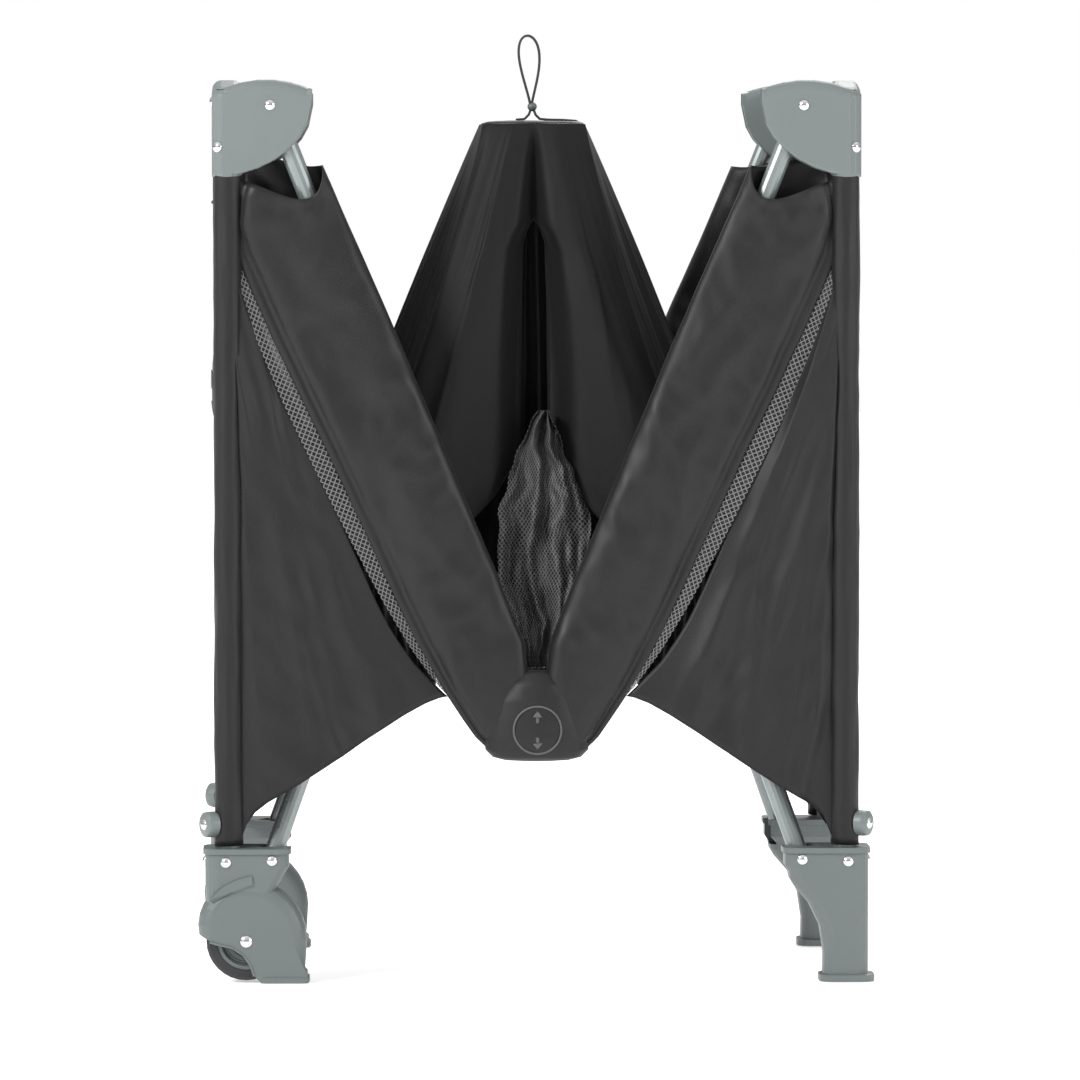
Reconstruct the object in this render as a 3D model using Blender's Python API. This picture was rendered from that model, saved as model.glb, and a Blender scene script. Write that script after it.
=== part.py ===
"""Folding playpen, half folded: posts, top rails that break at centre latches, and a base that rises.

Metres, +Z up. The origin is on the floor, under the middle of the object's box. Long sides run along X.
Corner signs (sx, sy) are -1 for left or front and +1 for right or back. Every corner piece is designed
once with its post on the Z axis and its arms along +X and +Y, then mirrored into its corner.
"""

import math

import bmesh
import bpy
from mathutils import Matrix, Vector

# Linkage. Rails and base tubes all stand at the same angle, so every joint turns by the same amount.
FOLD = math.radians(68.5)
LONG_RAIL = 0.5547
SHORT_RAIL = 0.2563
LATCH_HALF = 0.020
CORNER_ARM = 0.0357
FOOT_ARM = 0.040
RAIL_PIVOT_Z = 0.739
BASE_PIVOT_Z = 0.103

# Tubes and pins
POST_RADIUS = 0.0095
POST_BORE = 0.0098
POST_BOTTOM = 0.0885
POST_TOP = 0.748
TUBE_RADIUS = 0.008
TUBE_WALL = 0.0012
TUBE_OVERRUN = 0.0072
PIN_RADIUS = 0.003
PIN_HOLE = 0.0033
OPEN_PIVOT_HOLE = 0.0042
CHANNEL_HALF = 0.0092
PIVOT_ROOM = 0.0125

# Corner casting
ARM_HALF = 0.013
ARM_REACH = 0.071
CASTING_TOP = 0.757
CASTING_BOTTOM = 0.6755
CHANNEL_START = 0.016
CHANNEL_TOP = 0.7505

# Feet and wheels
FOOT_OUT = 0.0197
FOOT_HALF = 0.0190
FOOT_BACK = 0.034
RIM_BOTTOM = 0.1083
RIM_TOP = 0.1127
SOLE_REACH = 0.025
WHEEL_X = 0.0147
WHEEL_Z = 0.035
TYRE_RADIUS = 0.0335
TYRE_HALF = 0.011
RIM_RADIUS = 0.0245
AXLE_RADIUS = 0.004
HOOD_RADIUS = 0.0512
HOOD_CAVITY = 0.0365
CAVITY_HALF = 0.0125

# Latch and hub
LATCH_REACH = 0.037
LATCH_BELOW = 0.018
LATCH_ABOVE = 0.014
LATCH_SIDE = 0.0135
BUTTON_RADIUS = 0.007
HUB_TOP = 0.7175

# Soft goods
COVER_START = 0.080
COVER_STOP = 0.035
COVER_HALF = 0.012
COVER_HOLE = 0.0085
CLOTH = 0.003
STRAP_TOP = 0.7965

BASE_TUBE = math.hypot(LONG_RAIL, SHORT_RAIL)
BASE_X = LONG_RAIL / BASE_TUBE
BASE_Y = SHORT_RAIL / BASE_TUBE
POST_X = LATCH_HALF + LONG_RAIL * math.cos(FOLD) + CORNER_ARM
POST_Y = LATCH_HALF + SHORT_RAIL * math.cos(FOLD) + CORNER_ARM
HUB_PIVOT_Z = BASE_PIVOT_Z + BASE_TUBE * math.sin(FOLD)
HUB_PIVOT_X = POST_X - FOOT_ARM * BASE_X - BASE_TUBE * math.cos(FOLD) * BASE_X
HUB_PIVOT_Y = POST_Y - FOOT_ARM * BASE_Y - BASE_TUBE * math.cos(FOLD) * BASE_Y

CORNERS = {
    "front_left": (-1, -1),
    "front_right": (1, -1),
    "back_left": (-1, 1),
    "back_right": (1, 1),
}
SIDES = {"front": (0, -1), "back": (0, 1), "left": (-1, 0), "right": (1, 0)}


def clear_scene():
    for obj in list(bpy.data.objects):
        bpy.data.objects.remove(obj, do_unlink=True)


def material(name, colour, roughness, metallic=0.0):
    made = bpy.data.materials.new(name)
    made.use_nodes = True
    shader = made.node_tree.nodes["Principled BSDF"]
    shader.inputs["Base Color"].default_value = (*colour, 1.0)
    shader.inputs["Roughness"].default_value = roughness
    shader.inputs["Metallic"].default_value = metallic
    return made


def add(name, mesh, finish):
    """A node: an object with this mesh, shaded smooth between its sharp edges."""
    mesh.name = name
    mesh.materials.clear()
    mesh.materials.append(finish)
    mesh.shade_smooth()
    mesh.set_sharp_from_angle(angle=math.radians(35))
    obj = bpy.data.objects.new(name, mesh)
    bpy.context.scene.collection.objects.link(obj)
    return obj


def mesh_of(shape):
    bmesh.ops.recalc_face_normals(shape, faces=shape.faces)
    mesh = bpy.data.meshes.new("mesh")
    shape.to_mesh(mesh)
    shape.free()
    return mesh


def loft(rings, closed=False):
    """A solid through rings of the same number of points. A closed loft comes back to its first ring."""
    shape = bmesh.new()
    made = [[shape.verts.new(point) for point in ring] for ring in rings]
    pairs = list(zip(made, made[1:]))
    if closed:
        pairs.append((made[-1], made[0]))
    for low, high in pairs:
        for i in range(len(low)):
            j = (i + 1) % len(low)
            shape.faces.new((low[i], low[j], high[j], high[i]))
    if not closed:
        shape.faces.new(made[0])
        shape.faces.new(made[-1])
    return mesh_of(shape)


def circle(radius, sides, z=0.0):
    turns = [2 * math.pi * i / sides for i in range(sides)]
    return [Vector((radius * math.cos(t), radius * math.sin(t), z)) for t in turns]


def rod(radius, low, high, sides=16):
    """A cylinder along Z."""
    return loft([circle(radius, sides, low), circle(radius, sides, high)])


def pipe(radius, bore, low, high, sides=16):
    """A tube along Z, open at both ends."""
    rings = [circle(radius, sides, low), circle(radius, sides, high)]
    rings += [circle(bore, sides, high), circle(bore, sides, low)]
    return loft(rings, closed=True)


def turned(profile, sides=32):
    """A closed ring turned about Z from (radius, z) points."""
    return loft([circle(r, sides, z) for r, z in profile], closed=True)


def rounded_rectangle(x0, x1, y0, y1, corner, z, steps=3):
    """One ring in a level plane."""
    points = []
    for cx, cy, start in ((x1, y1, 0), (x0, y1, 90), (x0, y0, 180), (x1, y0, 270)):
        inset_x = cx - math.copysign(corner, cx - (x0 + x1) / 2)
        inset_y = cy - math.copysign(corner, cy - (y0 + y1) / 2)
        for i in range(steps + 1):
            turn = math.radians(start + 90 * i / steps)
            points.append(
                Vector((inset_x + corner * math.cos(turn), inset_y + corner * math.sin(turn), z))
            )
    return points


def box(x0, x1, y0, y1, z0, z1):
    return loft([
        [Vector((x, y, z)) for x, y in ((x0, y0), (x1, y0), (x1, y1), (x0, y1))] for z in (z0, z1)
    ])


def plate(outline, half, across):
    """A flat plate from an outline of (along, z) points. across is 0 for a plate across X, 1 for across Y."""
    rings = []
    for offset in (-half, half):
        if across == 1:
            rings.append([Vector((along, offset, z)) for along, z in outline])
        else:
            rings.append([Vector((offset, along, z)) for along, z in outline])
    return loft(rings)


def moved(mesh, matrix):
    mesh.transform(matrix)
    if matrix.determinant() < 0:
        mesh.flip_normals()
    return mesh


def mirrored(mesh, sx, sy, x, y):
    """A copy of a corner piece's mesh, its arms turned inwards, with its post at (x, y)."""
    copy = mesh.copy()
    turn = Matrix.Diagonal((-sx, -sy, 1, 1))
    return moved(copy, Matrix.Translation((x, y, 0)) @ turn)


def aimed(start, direction, across):
    """A frame at start whose Z runs along direction and whose Y is across."""
    z = Vector(direction).normalized()
    y = Vector(across).normalized()
    x = y.cross(z)
    frame = Matrix((x, y, z)).transposed().to_4x4()
    frame.translation = Vector(start)
    return frame


def combined(base, steps):
    """The mesh after Boolean steps, each (operation, mesh)."""
    helpers = [bpy.data.objects.new("body", base)]
    for operation, mesh in steps:
        tool = bpy.data.objects.new("tool", mesh)
        tool.hide_render = True
        tool.display_type = "WIRE"
        modifier = helpers[0].modifiers.new(operation, "BOOLEAN")
        modifier.operation = operation
        modifier.solver = "EXACT"
        modifier.object = tool
        helpers.append(tool)
    for helper in helpers:
        bpy.context.scene.collection.objects.link(helper)
    graph = bpy.context.evaluated_depsgraph_get()
    result = bpy.data.meshes.new_from_object(helpers[0].evaluated_get(graph))
    for helper in helpers:
        bpy.data.objects.remove(helper, do_unlink=True)
    return result


def along(axis, mesh):
    """Turns a mesh made along Z to run along X or Y."""
    if axis == "X":
        return moved(mesh, Matrix.Rotation(math.pi / 2, 4, "Y"))
    return moved(mesh, Matrix.Rotation(-math.pi / 2, 4, "X"))


def swapped(mesh):
    """A copy with X and Y exchanged."""
    exchange = Matrix(((0, 1, 0, 0), (1, 0, 0, 0), (0, 0, 1, 0), (0, 0, 0, 1)))
    return moved(mesh.copy(), exchange)


# Corner casting


def arm_top(x):
    """Height of the casting's arched top."""
    crown = 0.033
    return CASTING_TOP - 5.6 * (x - crown) ** 2


def arm_bottom(x):
    """Height of the casting's lower edge, a quarter ellipse from the nose to the post's sleeve."""
    share = min(1.0, (x + ARM_HALF) / (ARM_REACH + ARM_HALF))
    return RAIL_PIVOT_Z - (RAIL_PIVOT_Z - CASTING_BOTTOM) * math.sqrt(1 - share * share)


def arch(half, bottom, top):
    """The casting's cross-section: a small round below and a large one above, as (across, z) points."""
    low = 0.0025
    high = min(0.009, 0.6 * half, 0.25 * (top - bottom))
    corners = (
        (half, top, high, 0, 5),
        (-half, top, high, 90, 5),
        (-half, bottom, low, 180, 2),
        (half, bottom, low, 270, 2),
    )
    points = []
    for x, z, radius, start, steps in corners:
        middle_x = x - math.copysign(radius, x)
        middle_z = z - radius if z == top else z + radius
        for i in range(steps + 1):
            turn = math.radians(start + 90 * i / steps)
            points.append((middle_x + radius * math.cos(turn), middle_z + radius * math.sin(turn)))
    return points


def arm():
    """One arm along +X, rounded round the post at its outer end."""
    stations = [-0.013, -0.0122, -0.010, -0.006, 0.0, 0.012, 0.026, 0.040, 0.052, 0.061, 0.067, ARM_REACH]
    rings = []
    for x in stations:
        half = ARM_HALF
        if x < 0:
            half = max(0.004, math.sqrt(ARM_HALF**2 - x * x))
        section = arch(half, arm_bottom(x), arm_top(x))
        rings.append([Vector((x, across, z)) for across, z in section])
    return loft(rings)


def corner_casting():
    channel = box(CHANNEL_START, 0.1, -CHANNEL_HALF, CHANNEL_HALF, 0.6, CHANNEL_TOP)
    pin = along("Y", rod(PIN_RADIUS, -0.0115, 0.0115, 12))
    pin.transform(Matrix.Translation((CORNER_ARM, 0, RAIL_PIVOT_Z)))
    cut_arm = combined(arm(), [("DIFFERENCE", channel), ("UNION", pin)])
    return combined(
        cut_arm,
        [("UNION", swapped(cut_arm)), ("DIFFERENCE", rod(POST_BORE, 0.6, POST_TOP + 0.0005, 24))],
    )


# Feet


def bracket_pocket():
    """The slot that the base tube swings in, along the tube's plane and open at its inner end."""
    slot = box(
        FOOT_ARM - PIVOT_ROOM,
        0.10,
        -CHANNEL_HALF,
        CHANNEL_HALF,
        BASE_PIVOT_Z - PIVOT_ROOM,
        0.15,
    )
    return moved(slot, Matrix.Rotation(math.atan2(BASE_Y, BASE_X), 4, "Z"))


def bracket_pin():
    pin = along("Y", rod(PIN_RADIUS, -0.0115, 0.0115, 12))
    pin.transform(Matrix.Translation((FOOT_ARM, 0, BASE_PIVOT_Z)))
    return moved(pin, Matrix.Rotation(math.atan2(BASE_Y, BASE_X), 4, "Z"))


def foot_ring(z, x_in, y_in, proud=0.0):
    low = -FOOT_OUT - proud
    front = -FOOT_HALF - proud
    return rounded_rectangle(low, x_in + proud, front, y_in + proud, 0.011, z, 4)


def bracket_rings():
    return [
        foot_ring(0.0925, 0.0475, 0.031),
        foot_ring(0.0975, 0.0508, FOOT_BACK),
        foot_ring(RIM_BOTTOM - 0.0007, 0.0508, FOOT_BACK),
        foot_ring(RIM_BOTTOM, 0.0508, FOOT_BACK, 0.0017),
        foot_ring(RIM_TOP, 0.0508, FOOT_BACK, 0.0017),
    ]


def finished_foot(body, more):
    steps = more + [
        ("DIFFERENCE", rod(POST_BORE, POST_BOTTOM - 0.0005, 0.15, 24)),
        ("DIFFERENCE", bracket_pocket()),
        ("UNION", bracket_pin()),
    ]
    return combined(body, steps)


def plain_foot():
    sole = rounded_rectangle(-SOLE_REACH, 0.0215, -0.0215, 0.0215, 0.012, 0.0, 4)
    rings = [sole, [point + Vector((0, 0, 0.0055)) for point in sole]]
    rings.append(foot_ring(0.0065, 0.0183, 0.0183))
    rings.append(foot_ring(0.0237, 0.0180, 0.0183))
    rings.append(foot_ring(0.0464, 0.0214, 0.0190))
    rings.append(foot_ring(0.0657, 0.0307, 0.0210))
    rings.append(foot_ring(0.0800, 0.0430, 0.0265))
    rings.append(foot_ring(0.0860, 0.0466, 0.0295))
    return finished_foot(loft(rings + bracket_rings()), [])


def hood_outline():
    """Side view of the wheel hood: a dome over the wheel that runs down to a pad on its inner side."""
    points = [(0.0662, 0.0), (0.0662, 0.008), (0.0640, 0.010)]
    for i in range(17):
        turn = math.radians(2 + 170 * i / 16)
        over = max(0.0, math.degrees(turn) - 90) / 82
        radius = HOOD_RADIUS + (0.0400 - HOOD_RADIUS) * over**2
        points.append((WHEEL_X + radius * math.cos(turn), WHEEL_Z + radius * math.sin(turn)))
    points += [(-0.0113, 0.0329), (0.0030, 0.0296), (0.0125, 0.0235), (0.0185, 0.0150)]
    points += [(0.0214, 0.0060), (0.0273, 0.0)]
    return points


def on_dome(point):
    return point.z > 0.0095 and (point.x > 0.03 or point.z > 0.0395)


def wheel_hood():
    shape = bmesh.new()
    shape.from_mesh(plate(hood_outline(), FOOT_HALF, 1))
    rims = [e for e in shape.edges if abs(e.verts[0].co.y - e.verts[1].co.y) < 1e-6]
    upper = [e for e in rims if on_dome(e.verts[0].co) and on_dome(e.verts[1].co)]
    bmesh.ops.bevel(shape, geom=upper, offset=0.0120, segments=6, profile=0.5, affect="EDGES")
    return mesh_of(shape)


def pad_flange():
    """The thin flange round the hood's pad."""
    rings = []
    for z, grow in ((0.0, -0.0008), (0.0012, 0.0), (0.0036, 0.0), (0.0048, -0.0010)):
        rings.append(rounded_rectangle(0.0258 - grow, 0.0680 + grow, -0.0206 - grow, 0.0206 + grow, 0.006, z, 3))
    return loft(rings)


def hood_rib():
    """The curved rib where the bracket meets the dome."""
    outline = [(-0.0160, 0.0700), (0.0, 0.0760), (0.0205, 0.0830), (0.0195, 0.0905), (0.0060, 0.0868), (-0.0060, 0.0805)]
    return plate(outline, 0.0206, 1)


def wheel_foot():
    """The bracket, on a wheel hood in place of the leg."""
    neck = [
        rounded_rectangle(-0.0175, 0.034, -0.0165, 0.0165, 0.006, 0.062, 4),
        foot_ring(0.0800, 0.0400, 0.0200),
        foot_ring(0.0860, 0.0440, 0.0280),
    ]
    cavity = along("Y", rod(HOOD_CAVITY, -CAVITY_HALF, CAVITY_HALF, 32))
    cavity.transform(Matrix.Translation((WHEEL_X, 0, WHEEL_Z)))
    bore = along("Y", rod(AXLE_RADIUS + 0.0003, -0.03, 0.03, 16))
    bore.transform(Matrix.Translation((WHEEL_X, 0, WHEEL_Z)))
    steps = [("UNION", wheel_hood()), ("UNION", pad_flange()), ("UNION", hood_rib())]
    steps += [("DIFFERENCE", cavity), ("DIFFERENCE", bore)]
    return finished_foot(loft(neck + bracket_rings()), steps)


# Tubes, latches and hub


def rail_mesh(length, far_hole):
    """A tube along Z with its near pivot at the origin and a cross hole for each pivot pin."""
    body = pipe(TUBE_RADIUS, TUBE_RADIUS - TUBE_WALL, -TUBE_OVERRUN, length + TUBE_OVERRUN)
    near = along("Y", rod(PIN_HOLE, -0.02, 0.02, 12))
    far = along("Y", rod(far_hole, -0.02, 0.02, 12))
    far.transform(Matrix.Translation((0, 0, length)))
    return combined(body, [("DIFFERENCE", near), ("DIFFERENCE", far)])


def latch_mesh():
    """A channel open above and at both ends, with a pin for each half rail. It runs along X."""
    rings = []
    for z, grow in ((-LATCH_BELOW, -0.004), (-LATCH_BELOW + 0.003, 0.0), (LATCH_ABOVE, 0.0)):
        reach = LATCH_REACH + 2 * grow
        side = LATCH_SIDE + grow
        rings.append(rounded_rectangle(-reach, reach, -side, side, 0.003, z, 2))
    channel = box(-0.06, 0.06, -CHANNEL_HALF, CHANNEL_HALF, -PIVOT_ROOM, 0.05)
    bore = along("Y", rod(BUTTON_RADIUS + 0.0003, -0.03, -0.005, 20))
    steps = [("DIFFERENCE", channel), ("DIFFERENCE", bore)]
    for x in (-LATCH_HALF, LATCH_HALF):
        pin = along("Y", rod(PIN_RADIUS, -0.0115, 0.0115, 12))
        pin.transform(Matrix.Translation((x, 0, 0)))
        steps.append(("UNION", pin))
    return combined(loft(rings), steps)


def button_mesh():
    """A release button with a rounded face, pushed along +Y."""
    profile = [(BUTTON_RADIUS, -0.007), (BUTTON_RADIUS, -0.0150), (BUTTON_RADIUS * 0.8, -0.0165)]
    rings = [circle(r, 20, z) for r, z in profile]
    return moved(loft(rings), Matrix.Rotation(-math.pi / 2, 4, "X"))


def hub_mesh():
    rings = [
        rounded_rectangle(-0.034, 0.034, -0.053, 0.053, 0.008, 0.656),
        rounded_rectangle(-0.036, 0.036, -0.055, 0.055, 0.008, 0.660),
        rounded_rectangle(-0.036, 0.036, -0.055, 0.055, 0.008, 0.699),
        rounded_rectangle(-0.041, 0.041, -0.060, 0.060, 0.010, 0.702),
        rounded_rectangle(-0.041, 0.041, -0.060, 0.060, 0.010, 0.714),
        rounded_rectangle(-0.037, 0.037, -0.056, 0.056, 0.008, HUB_TOP),
    ]
    steps = []
    for sx, sy in CORNERS.values():
        place = Matrix.Translation((sx * HUB_PIVOT_X, sy * HUB_PIVOT_Y, HUB_PIVOT_Z))
        place = place @ Matrix.Rotation(math.atan2(sy * BASE_Y, sx * BASE_X), 4, "Z")
        slot = box(-PIVOT_ROOM, 0.09, -CHANNEL_HALF, CHANNEL_HALF, -0.08, PIVOT_ROOM)
        steps.append(("DIFFERENCE", moved(slot, place)))
        pin = along("Y", rod(PIN_RADIUS, -0.0105, 0.0105, 12))
        steps.append(("UNION", moved(pin, place)))
    return combined(loft(rings), steps)


# Soft goods


def cover_mesh(length, out_near, out_far):
    """A padded sleeve along a rail. The rail's bore runs through it, and it hangs out on its +X side."""
    near, far = COVER_START, length - COVER_STOP
    outer = []
    for z, reach in ((near, out_near), (far, out_far)):
        outer.append(rounded_rectangle(-0.018, reach, -COVER_HALF, COVER_HALF, 0.0085, z))
    count = len(outer[0])
    inner = []
    for ring in reversed(outer):
        hole = [Vector((math.cos(a), math.sin(a), 0)) * COVER_HOLE for a in bearings(ring)]
        inner.append([point + Vector((0, 0, ring[0].z)) for point in hole])
    assert len(inner[0]) == count
    return loft(outer + inner, closed=True)


def bearings(ring):
    """Directions for a circle's points that face a ring's points, evenly spread."""
    first = math.atan2(ring[0].y, ring[0].x)
    return [first + 2 * math.pi * i / len(ring) for i in range(len(ring))]


SIDE_CLOTH = [
    (0.0135, 0.645),
    (0.0290, 0.645),
    (0.1680, 0.238),
    (0.1180, 0.186),
    (0.0600, 0.152),
    (0.0135, 0.126),
]
END_CLOTH = [
    (0.0135, 0.645),
    (0.0290, 0.645),
    (0.0760, 0.505),
    (0.1000, 0.440),
    (0.1380, 0.400),
    (0.1380, 0.340),
    (0.0750, 0.235),
    (0.0135, 0.126),
]


def floor_mesh():
    """A quarter of the floor cloth, hung over its base tube: a leaf to each side of the ridge."""
    ridge = (Vector((0.046, 0.060, 0.650)), Vector((0.2165, 0.137, 0.170)))
    long_side = (Vector((0.004, 0.060, 0.640)), Vector((0.004, 0.085, 0.420)))
    short_side = (Vector((0.046, 0.004, 0.640)), Vector((0.150, 0.004, 0.330)))
    rings = []
    for i in range(7):
        share = i / 6
        middle = ridge[0].lerp(ridge[1], share)
        side = long_side[0].lerp(long_side[1], share)
        end = short_side[0].lerp(short_side[1], share)
        outside = [side, side.lerp(middle, 0.5), middle, middle.lerp(end, 0.5), end]
        inward = Vector((-0.707, -0.707, 0)) * CLOTH
        inside = [point + inward for point in reversed(outside[1:-1])]
        first = end + Vector((-CLOTH, 0, 0))
        last = side + Vector((0, -CLOTH, 0))
        rings.append(outside + [first] + inside + [last])
    return loft(rings)


def strap_mesh():
    """The pull strap: a band bent into a drop-shaped loop that stands on the hub."""
    low = HUB_TOP + 0.0003
    height = STRAP_TOP - low
    thickness, half = 0.0016, 0.009
    outline = []
    for i in range(28):
        turn = 2 * math.pi * i / 28
        lift = (1 - math.cos(turn)) / 2
        width = 0.0115 * math.sin(turn) * (0.25 + 0.75 * lift)
        outline.append((width, low + height * lift))
    middle = low + height * 0.62
    rings = []
    for x, z in outline:
        away = Vector((x, 0, z - middle))
        inner = Vector((x, 0, z)) - away.normalized() * thickness
        ring = [Vector((x, -half, z)), Vector((x, half, z))]
        rings.append(ring + [inner + Vector((0, half, 0)), inner + Vector((0, -half, 0))])
    return loft(rings, closed=True)


# Assembly


def add_corner(corner, sx, sy, parts, finish):
    x, y = sx * POST_X, sy * POST_Y
    place = Matrix.Translation((x, y, 0))
    add("post_" + corner, moved(parts["post"].copy(), place), finish["steel"])
    add("corner_" + corner, mirrored(parts["corner"], sx, sy, x, y), finish["plastic"])
    foot = "wheel_foot" if sx < 0 else "plain_foot"
    add("foot_" + corner, mirrored(parts[foot], sx, sy, x, y), finish["plastic"])

    rail_start = Vector((sx * (POST_X - CORNER_ARM), y, RAIL_PIVOT_Z))
    down = Vector((-sx * math.cos(FOLD), 0, -math.sin(FOLD)))
    frame = aimed(rail_start, down, (0, -sx, 0))
    far_open = "near_rail" if sx < 0 else "open_rail"
    add("long_rail_" + corner, moved(parts["long_" + far_open].copy(), frame), finish["steel"])
    add("long_cover_" + corner, moved(parts["long_cover"].copy(), frame), finish["fabric"])

    rail_start = Vector((x, sy * (POST_Y - CORNER_ARM), RAIL_PIVOT_Z))
    down = Vector((0, -sy * math.cos(FOLD), -math.sin(FOLD)))
    frame = aimed(rail_start, down, (sy, 0, 0))
    far_open = "near_rail" if sy < 0 else "open_rail"
    add("short_rail_" + corner, moved(parts["short_" + far_open].copy(), frame), finish["steel"])
    add("short_cover_" + corner, moved(parts["short_cover"].copy(), frame), finish["fabric"])

    start = Vector((x - sx * FOOT_ARM * BASE_X, y - sy * FOOT_ARM * BASE_Y, BASE_PIVOT_Z))
    flat = Vector((-sx * BASE_X, -sy * BASE_Y, 0))
    rise = flat * math.cos(FOLD) + Vector((0, 0, math.sin(FOLD)))
    frame = aimed(start, rise, (-sy * BASE_Y, sx * BASE_X, 0))
    add("base_tube_" + corner, moved(parts["base_tube"].copy(), frame), finish["steel"])

    add("side_cloth_" + corner, mirrored(parts["side_cloth"], sx, sy, x, y), finish["fabric"])
    add("end_cloth_" + corner, mirrored(parts["end_cloth"], sx, sy, x, y), finish["fabric"])
    add("floor_cloth_" + corner, moved(parts["floor"].copy(), Matrix.Diagonal((sx, sy, 1, 1))), finish["fabric"])


def add_wheel(side, sy, finish):
    """A wheel under a left foot, on its own axle."""
    place = Matrix.Translation((-POST_X + WHEEL_X, sy * POST_Y, WHEEL_Z))
    place = place @ Matrix.Rotation(-math.pi / 2, 4, "X")
    axle = rod(AXLE_RADIUS, -0.018, 0.018)
    add("axle_" + side, moved(axle, place), finish["chrome"])
    bore = AXLE_RADIUS + 0.0004
    web = [(bore, -0.010), (0.0095, -0.010), (0.012, -0.006), (0.0195, -0.006), (0.0215, -0.010)]
    web += [(RIM_RADIUS, -0.010), (RIM_RADIUS, 0.010), (0.0215, 0.010), (0.0195, 0.006)]
    web += [(0.012, 0.006), (0.0095, 0.010), (bore, 0.010)]
    add("rim_" + side, moved(turned(web), place), finish["plastic"])
    inner = RIM_RADIUS + 0.0003
    tread = [(inner, -TYRE_HALF), (0.031, -TYRE_HALF), (TYRE_RADIUS, -0.0085)]
    tread += [(TYRE_RADIUS, 0.0085), (0.031, TYRE_HALF), (inner, TYRE_HALF)]
    add("tyre_" + side, moved(turned(tread), place), finish["tyre"])


def add_latch(side, sx, sy, parts, finish):
    """The latch in the middle of one side. Its button faces outwards."""
    rail = LONG_RAIL if sy else SHORT_RAIL
    height = RAIL_PIVOT_Z - rail * math.sin(FOLD)
    turn = math.atan2(sx, -sy)
    place = Matrix.Translation((sx * POST_X, sy * POST_Y, height)) @ Matrix.Rotation(turn, 4, "Z")
    add("latch_" + side, moved(parts["latch"].copy(), place), finish["plastic"])
    add("button_" + side, moved(parts["button"].copy(), place), finish["plastic"])


def build():
    clear_scene()
    finish = {
        "plastic": material("grey_plastic", (0.25, 0.29, 0.285), 0.5),
        "steel": material("grey_steel", (0.36, 0.40, 0.40), 0.35, 0.6),
        "chrome": material("chrome", (0.8, 0.8, 0.8), 0.15, 1.0),
        "tyre": material("tyre", (0.02, 0.02, 0.02), 0.7),
        "fabric": material("black_fabric", (0.015, 0.015, 0.016), 0.8),
        "strap": material("strap", (0.02, 0.02, 0.02), 0.7),
    }
    parts = {
        "post": pipe(POST_RADIUS, POST_RADIUS - TUBE_WALL, POST_BOTTOM, POST_TOP, 20),
        "corner": corner_casting(),
        "plain_foot": plain_foot(),
        "wheel_foot": wheel_foot(),
        "long_near_rail": rail_mesh(LONG_RAIL, PIN_HOLE),
        "long_open_rail": rail_mesh(LONG_RAIL, OPEN_PIVOT_HOLE),
        "short_near_rail": rail_mesh(SHORT_RAIL, PIN_HOLE),
        "short_open_rail": rail_mesh(SHORT_RAIL, OPEN_PIVOT_HOLE),
        "base_tube": rail_mesh(BASE_TUBE, PIN_HOLE),
        "long_cover": cover_mesh(LONG_RAIL, 0.028, 0.050),
        "short_cover": cover_mesh(SHORT_RAIL, 0.028, 0.034),
        "latch": latch_mesh(),
        "button": button_mesh(),
        "side_cloth": plate(SIDE_CLOTH, CLOTH / 2, 1),
        "end_cloth": plate(END_CLOTH, CLOTH / 2, 0),
        "floor": floor_mesh(),
    }
    for corner, (sx, sy) in CORNERS.items():
        add_corner(corner, sx, sy, parts, finish)
    for side, sy in (("front", -1), ("back", 1)):
        add_wheel(side, sy, finish)
    for side, (sx, sy) in SIDES.items():
        add_latch(side, sx, sy, parts, finish)
    add("base_hub", hub_mesh(), finish["plastic"])
    add("pull_strap", strap_mesh(), finish["strap"])


build()
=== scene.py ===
"""Looks of the folding playpen: cloth, mesh, padding, rivets and finishes on the CAD frame."""

import math

import bpy
import numpy as np
from mathutils import Matrix, Vector, noise


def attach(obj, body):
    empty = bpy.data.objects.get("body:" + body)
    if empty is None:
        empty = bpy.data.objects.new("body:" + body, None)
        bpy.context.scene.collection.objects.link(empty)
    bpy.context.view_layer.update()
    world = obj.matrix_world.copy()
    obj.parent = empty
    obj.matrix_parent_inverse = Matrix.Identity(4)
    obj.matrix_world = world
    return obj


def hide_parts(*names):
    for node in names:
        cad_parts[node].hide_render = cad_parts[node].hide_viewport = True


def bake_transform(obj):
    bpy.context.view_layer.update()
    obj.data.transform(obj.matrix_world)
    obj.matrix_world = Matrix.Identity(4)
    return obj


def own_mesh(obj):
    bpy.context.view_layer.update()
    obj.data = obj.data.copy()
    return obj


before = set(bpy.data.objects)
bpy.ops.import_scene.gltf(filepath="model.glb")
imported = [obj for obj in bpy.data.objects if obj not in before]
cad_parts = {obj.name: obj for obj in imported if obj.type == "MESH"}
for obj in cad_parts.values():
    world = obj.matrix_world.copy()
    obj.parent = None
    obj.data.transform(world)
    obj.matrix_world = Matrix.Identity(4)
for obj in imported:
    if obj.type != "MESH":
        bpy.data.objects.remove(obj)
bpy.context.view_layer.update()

# Linkage sizes, as the CAD frame has them.
FOLD = math.radians(68.5)
COS, SIN = math.cos(FOLD), math.sin(FOLD)
LONG_RAIL, SHORT_RAIL = 0.5547, 0.2563
LATCH_HALF, CORNER_ARM, FOOT_ARM = 0.020, 0.0357, 0.040
RAIL_Z, BASE_Z = 0.739, 0.103
BASE_TUBE = math.hypot(LONG_RAIL, SHORT_RAIL)
UX, UY = LONG_RAIL / BASE_TUBE, SHORT_RAIL / BASE_TUBE
POST_X = LATCH_HALF + LONG_RAIL * COS + CORNER_ARM
POST_Y = LATCH_HALF + SHORT_RAIL * COS + CORNER_ARM
HUB_Z = BASE_Z + BASE_TUBE * SIN
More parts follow.
